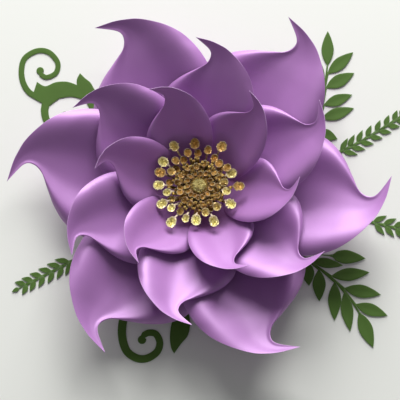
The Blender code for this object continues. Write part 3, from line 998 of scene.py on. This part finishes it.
def low_spray():
    stem = (glued_end((79, -50)), (79, -50), (115, -77), (137, -92), (166, -114), (185, -133),
            (203, -161))
    right = ((3.05, (139, -126), 16), (3.55, (152, -146), 17), (4.35, (171, -171), 17),
             (5.05, (191, -185), 16))
    left = ((2.5, (212, -91), 18, 0.45), (3.15, (183, -100), 13), (4.05, (217, -109), 17),
            (4.9, (231, -138), 17), (5.6, (239, -165), 16))
    return compound_leaf(stem, SPRAY_STEM, ((220, -206), 18), right, left, BROAD_LEAF)


print("leaflets in the top spray:", len(top_spray()[1]))

# %% [markdown]
# The fronds of a fern are so regular that a loop can place their leaflets: pairs along the stem that
# get shorter towards its tip and lean forwards, with the right one of a pair a little ahead.

# %% Ferns
FERN_STEM = 2.6
FERN_FIRST = 2.0
FERN_SPAN = 0.93
FERN_LEAFLET_WIDTH = 7.2
FERN_LENGTHS = (19.0, 13.0)
FERN_FORWARD = 0.80
FERN_SIDEWAYS = 0.60
FERN_END_LENGTH = 11.0
FERN_END_WIDTH = 5.5


def fern(bend, bare, tip, pairs):
    """A fern frond: a curved stem, bare to where it leaves the petals, then swept leaflets."""
    stem = (glued_end(bend), bend, bare, tip)
    right = []
    left = []
    for pair in range(pairs):
        place = FERN_FIRST + FERN_SPAN * pair / pairs
        heading = (along(stem, min(place + 0.03, 3)) - along(stem, place)).normalized()
        sideways = Vector((-heading.y, heading.x))
        length = mix(*FERN_LENGTHS, pair / pairs)
        for side, ahead, leaflets in ((1, 0.02, left), (-1, 0.05, right)):
            root = side_of(stem, place + ahead, side * FERN_STEM / 2)
            forward = heading * FERN_FORWARD + sideways * side * FERN_SIDEWAYS
            leaflets.append((place + ahead, root + forward * length, FERN_LEAFLET_WIDTH))
    heading = (Vector(tip) - along(stem, 2.9)).normalized()
    end = Vector(tip) + heading * FERN_END_LENGTH
    return compound_leaf(stem, FERN_STEM, (end, FERN_END_WIDTH), right, left, FERN_LEAF)


print("leaflets in a fern with six pairs:", len(fern((129, -25), (221, -44), (293, -63), 6)[1]))

# %% [markdown]
# The scrolls are bands that curl up and end in a ball. Their two sides run beside one middle line at
# half the band's width, which gets smaller along it, and an arc round the ball joins them. A curve
# object with a bevel would give a round wire, and this is flat card.

# %% Scrolls and the single leaf
BALL_STEPS = 16


def band(centre, widths, ball, ball_radius, steps):
    """Both sides of a curling band from its root, and the round ball that ends it."""
    last = len(centre) - 1
    places = [1 + (last - 1) * step / steps for step in range(steps + 1)]

    def half_width(place):
        return mix(widths[0], widths[1], place / last) / 2

    left = [side_of(centre, place, half_width(place)) for place in places]
    right = [side_of(centre, place, -half_width(place)) for place in places]
    ball = Vector(ball)
    start = (left[-1] - ball).angle_signed(Vector((1, 0)))
    finish = (right[-1] - ball).angle_signed(Vector((1, 0)))
    sweep = (start - finish) % (2 * math.pi)
    turns = [start - sweep * step / BALL_STEPS for step in range(1, BALL_STEPS)]
    arc = [ball + Vector((math.cos(turn), math.sin(turn))) * ball_radius for turn in turns]
    return left + arc + right[::-1]


def upper_flourish():
    """A leafy trunk that ends in two scrolls."""
    trunk = (-92, 58)
    low = smooth_run((glued_end(trunk, 4.6), (-89, 51), (-116, 73), (-136, 92), (-145, 106),
                      (-152, 120), (-162, 125), (-173, 127), (-187, 125)))
    back = smooth_run(((-217, 148), (-206, 142), (-193, 147), (-180, 148), (-171, 146),
                       (-164, 143)))
    thorn = smooth_run(((-164, 143), (-164, 151), (-160, 159)))
    top = smooth_run(((-160, 159), (-153, 152), (-146, 146), (-140, 136), (-128, 120), (-119, 99),
                      (-95, 66), glued_end(trunk, -4.6)))
    small = ((-197, 130), (-205, 117), (-206, 105), (-202, 94), (-192, 88), (-182, 88),
             (-175, 94), (-174, 100))
    large = ((-203, 127), (-223, 131), (-234, 144), (-238, 162), (-234, 180), (-218, 190),
             (-202, 188), (-190, 174), (-192, 160), (-204, 154), (-212, 158))
    outline = (low + [Vector((-187, 125))] + band(small, (11, 7), (-179, 102), 5.5, 40)
               + band(large, (8, 6.5), (-213, 163), 5.0, 60) + back + thorn + top
               + [glued_end(trunk, -4.6)])
    return outline, []


def bottom_scroll():
    centre = (glued_end((-66, -110)), (-66, -110), (-95, -155), (-102, -182), (-97, -206),
              (-84, -217), (-70, -218), (-57, -210), (-53, -198), (-58, -187), (-67, -185),
              (-74, -188))
    curl = band(centre, (12, 8), (-76, -194), 5.5, 66)
    return [side_of(centre, 0, 5)] + curl + [side_of(centre, 0, -5)], []


def bottom_leaf():
    stem = (-21.5, -148)
    outer = smooth_run(((-23, -148), (-32, -160), (-38, -174), (-40, -190), (-38.5, -204),
                        (-34.5, -212)))
    inner = smooth_run(((-34.5, -212), (-26, -200), (-17, -189), (-14, -175), (-16, -160),
                        (-20, -148)))
    outline = [glued_end(stem, -2.5)] + outer + inner + [Vector((-20, -148)), glued_end(stem, 2.5)]
    return outline, [Leaflet((-21.5, -146), (-34.5, -212), 26, BROAD_LEAF)]


print("points round the flourish:", len(upper_flourish()[0]))

# %% [markdown]
# An outline alone would give one flat face that can't bend. So we fill it with a fine web of triangles:
# the outline's own points, an even grid of points inside it, and a Delaunay triangulation that keeps
# the cut edge. Then each leaflet is creased along its midrib and its tip is lifted by a hair, as scored
# card does, and all of it sags onto the surface that the flower lies on.

# %% Fill an outline and crease its leaflets
WEB = 2.4
WEB_CLEARANCE = 0.45 * WEB
MIDRIB_DEPTH = 0.55
TIP_LIFT = 0.4
CARD_WAVE = 0.08
WAVE_SIZE = 38.0
SAG = 1.15
LIES_FREE_AT = 120.0
LIES_FREE_IN = 60.0


def stretches(outline):
    """Both ends of each stretch of a closed outline."""
    return zip(outline[-1:] + outline[:-1], outline)


def is_inside(point, outline):
    inside = False
    for behind, ahead in stretches(outline):
        if (ahead.y > point.y) != (behind.y > point.y):
            crossing = mix(behind.x, ahead.x, (point.y - behind.y) / (ahead.y - behind.y))
            inside ^= point.x < crossing
    return inside


def edge_distance(point, outline):
    """How far a point lies from the nearest stretch of the cut edge."""
    nearest = math.inf
    for behind, ahead in stretches(outline):
        run = ahead - behind
        share = min(max((point - behind).dot(run) / max(run.length_squared, 1e-9), 0.0), 1.0)
        nearest = min(nearest, (point - behind - run * share).length)
    return nearest


def filled(outline):
    """Points and triangles that fill an outline, with an even web of points inside it."""
    left, low = [min(point[axis] for point in outline) for axis in (0, 1)]
    right, high = [max(point[axis] for point in outline) for axis in (0, 1)]
    points = list(outline)
    for row in range(int((high - low) / WEB) + 1):
        for column in range(int((right - left) / WEB) + 1):
            spot = Vector((left + (column + 0.5 * (row % 2)) * WEB, low + row * WEB))
            if is_inside(spot, outline) and edge_distance(spot, outline) > WEB_CLEARANCE:
                points.append(spot)
    count = len(outline)
    border = [(number, (number + 1) % count) for number in range(count)]
    points, _, faces, *_ = geometry.delaunay_2d_cdt(points, border, [], 1, 1e-5)
    return points, faces


def leaf_relief(point, leaflets, seed):
    """Height in millimetres that the creases and the card's own wave add at a point."""
    lift = 0.0
    for leaflet in leaflets:
        place, across = leaflet.local(point)
        if 0.0 < place < 1.02 and abs(across) < 1.05:
            crease = MIDRIB_DEPTH * smoothstep(place * 5) * smoothstep((1 - place) * 4)
            lift = max(lift, crease * min(abs(across), 1.0) + TIP_LIFT * max(place, 0.0) ** 2)
    free = smoothstep((point.length - LIES_FREE_AT) / LIES_FREE_IN)
    spot = Vector((point.x / WAVE_SIZE, point.y / WAVE_SIZE, seed))
    wave = CARD_WAVE * (1 + noise.noise(spot))
    return free * (lift + wave - SAG)


def add_cut_card(name, outline, leaflets):
    points, faces = filled(outline)
    middle = DISC_THICKNESS + GLUE_GAP + GREEN_CARD / 2
    shaped = []
    for point in points:
        relief = leaf_relief(point, leaflets, len(name))
        shaped.append(Vector((point.x * MM, point.y * MM, middle + relief * MM)))
    piece = add_piece(f"{name}_card", shaped, faces, (leaf_card, leaf_edge), name)
    add_attribute(piece, "from_edge", [edge_distance(point, outline) * MM for point in points])
    thicken(piece, GREEN_CARD)
    return piece


GREENERY = {
    "top_spray": top_spray(),
    "low_spray": low_spray(),
    "upper_right_fern": fern((116, 36), (181, 49), (271, 101), 8),
    "right_fern": fern((129, -25), (221, -44), (293, -63), 6),
    "left_fern": fern((-110, -55), (-168, -91), (-236, -126), 6),
    "upper_flourish": upper_flourish(),
    "bottom_scroll": bottom_scroll(),
    "bottom_leaf": bottom_leaf(),
}
for name, (outline, leaflets) in GREENERY.items():
    piece = add_cut_card(name, outline, leaflets)
    print(name, "triangles:", len(piece.data.polygons))

# %% [markdown]
# ## The backing disc
#
# The disc that holds everything together is hidden behind the flower. The build's own disc has the
# right shape, so it stays, and only gets the plain lilac card finish.

# %% Finish the disc
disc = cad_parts["back_disc"]
disc.data.materials.clear()
disc.data.materials.append(backing_card)
print("disc finish:", disc.data.materials[0].name)

# %% [markdown]
# ## Where it lies, and the light
#
# The flower lies on a plain pale surface, a hair below its disc so that the two never share a plane.
# The surface is far larger than the picture, so its edges stay out of sight. It is part of the stage,
# not of the flower.

# %% Floor
FLOOR_HALF = 4.0
FLOOR_BELOW = 0.0003
floor_mesh = bpy.data.meshes.new("pale_floor")
corners = [(-FLOOR_HALF, -FLOOR_HALF), (FLOOR_HALF, -FLOOR_HALF), (FLOOR_HALF, FLOOR_HALF),
           (-FLOOR_HALF, FLOOR_HALF)]
floor_mesh.from_pydata([(x, y, -FLOOR_BELOW) for x, y in corners], [], [(0, 1, 2, 3)])
floor = add_object("pale_floor", floor_mesh)
floor_finish, tree, shader = start_material("pale_floor")
set_inputs(shader, {"Base Color": (0.78, 0.79, 0.75, 1.0), "Roughness": 0.9})
floor_mesh.materials.append(floor_finish)
print("floor:", floor.name)

# %% [markdown]
# Daylight comes from a broad window beyond the flower's top, low enough that the petals that lean away
# from it fall into shade: most of the light there has bounced off another petal first, which makes it
# purple. A sun lamp would cut hard shadows. One large area lamp gives soft ones, and a dim world fills
# in what the room would.

# %% Window light and room
WINDOW_DISTANCE = 4.5
WINDOW_RISE = math.radians(27.0)
WINDOW_TURN = math.radians(3.0)
WINDOW_SIZE = 3.6
WINDOW_WATTS = 455.0
ROOM_STRENGTH = 0.22
window = bpy.data.lights.new("window", "AREA")
window.shape = "SQUARE"
window.size = WINDOW_SIZE
window.energy = WINDOW_WATTS
window.color = (1.0, 1.0, 0.99)
lamp = add_object("window", window)
level_run = math.cos(WINDOW_RISE)
toward = Vector((math.sin(WINDOW_TURN) * level_run, math.cos(WINDOW_TURN) * level_run,
                 math.sin(WINDOW_RISE)))
lamp.location = toward * WINDOW_DISTANCE
lamp.rotation_euler = toward.to_track_quat("Z", "Y").to_euler()

room = bpy.data.worlds.new("room")
room.use_nodes = True
set_inputs(room.node_tree.nodes["Background"], {
    "Color": (0.97, 0.98, 1.0, 1.0), "Strength": ROOM_STRENGTH})
bpy.context.scene.world = room
print("window at", [round(value, 2) for value in lamp.location], "m")

# %% [markdown]
# ## Camera
#
# The photograph looks almost straight down from far away, so a long lens is put at that distance. A
# camera that tracks its target may roll when it looks straight down. Here its three axes are worked
# out by hand, so that the flower's up stays up in the picture.

# %% Camera from almost straight above
CAMERA_TARGET = Vector((-0.0013, -0.0124, 0.0))
CAMERA_DISTANCE = 2.4
CAMERA_SLANT = (0.06, -0.17, 1.0)
PICTURE_WIDTH = 0.52
SENSOR_WIDTH = 36.0
camera_data = bpy.data.cameras.new("camera")
camera_data.sensor_width = SENSOR_WIDTH
camera_data.lens = SENSOR_WIDTH * CAMERA_DISTANCE / PICTURE_WIDTH
camera = add_object("camera", camera_data)
backward = Vector(CAMERA_SLANT).normalized()
right = Vector((0.0, 1.0, 0.0)).cross(backward).normalized()
upward = backward.cross(right)
facing = Matrix((right, upward, backward)).transposed().to_4x4()
camera.matrix_world = Matrix.Translation(CAMERA_TARGET + backward * CAMERA_DISTANCE) @ facing
bpy.context.scene.camera = camera
bpy.context.scene.view_settings.view_transform = "Standard"
print("lens:", round(camera_data.lens, 1), "mm")
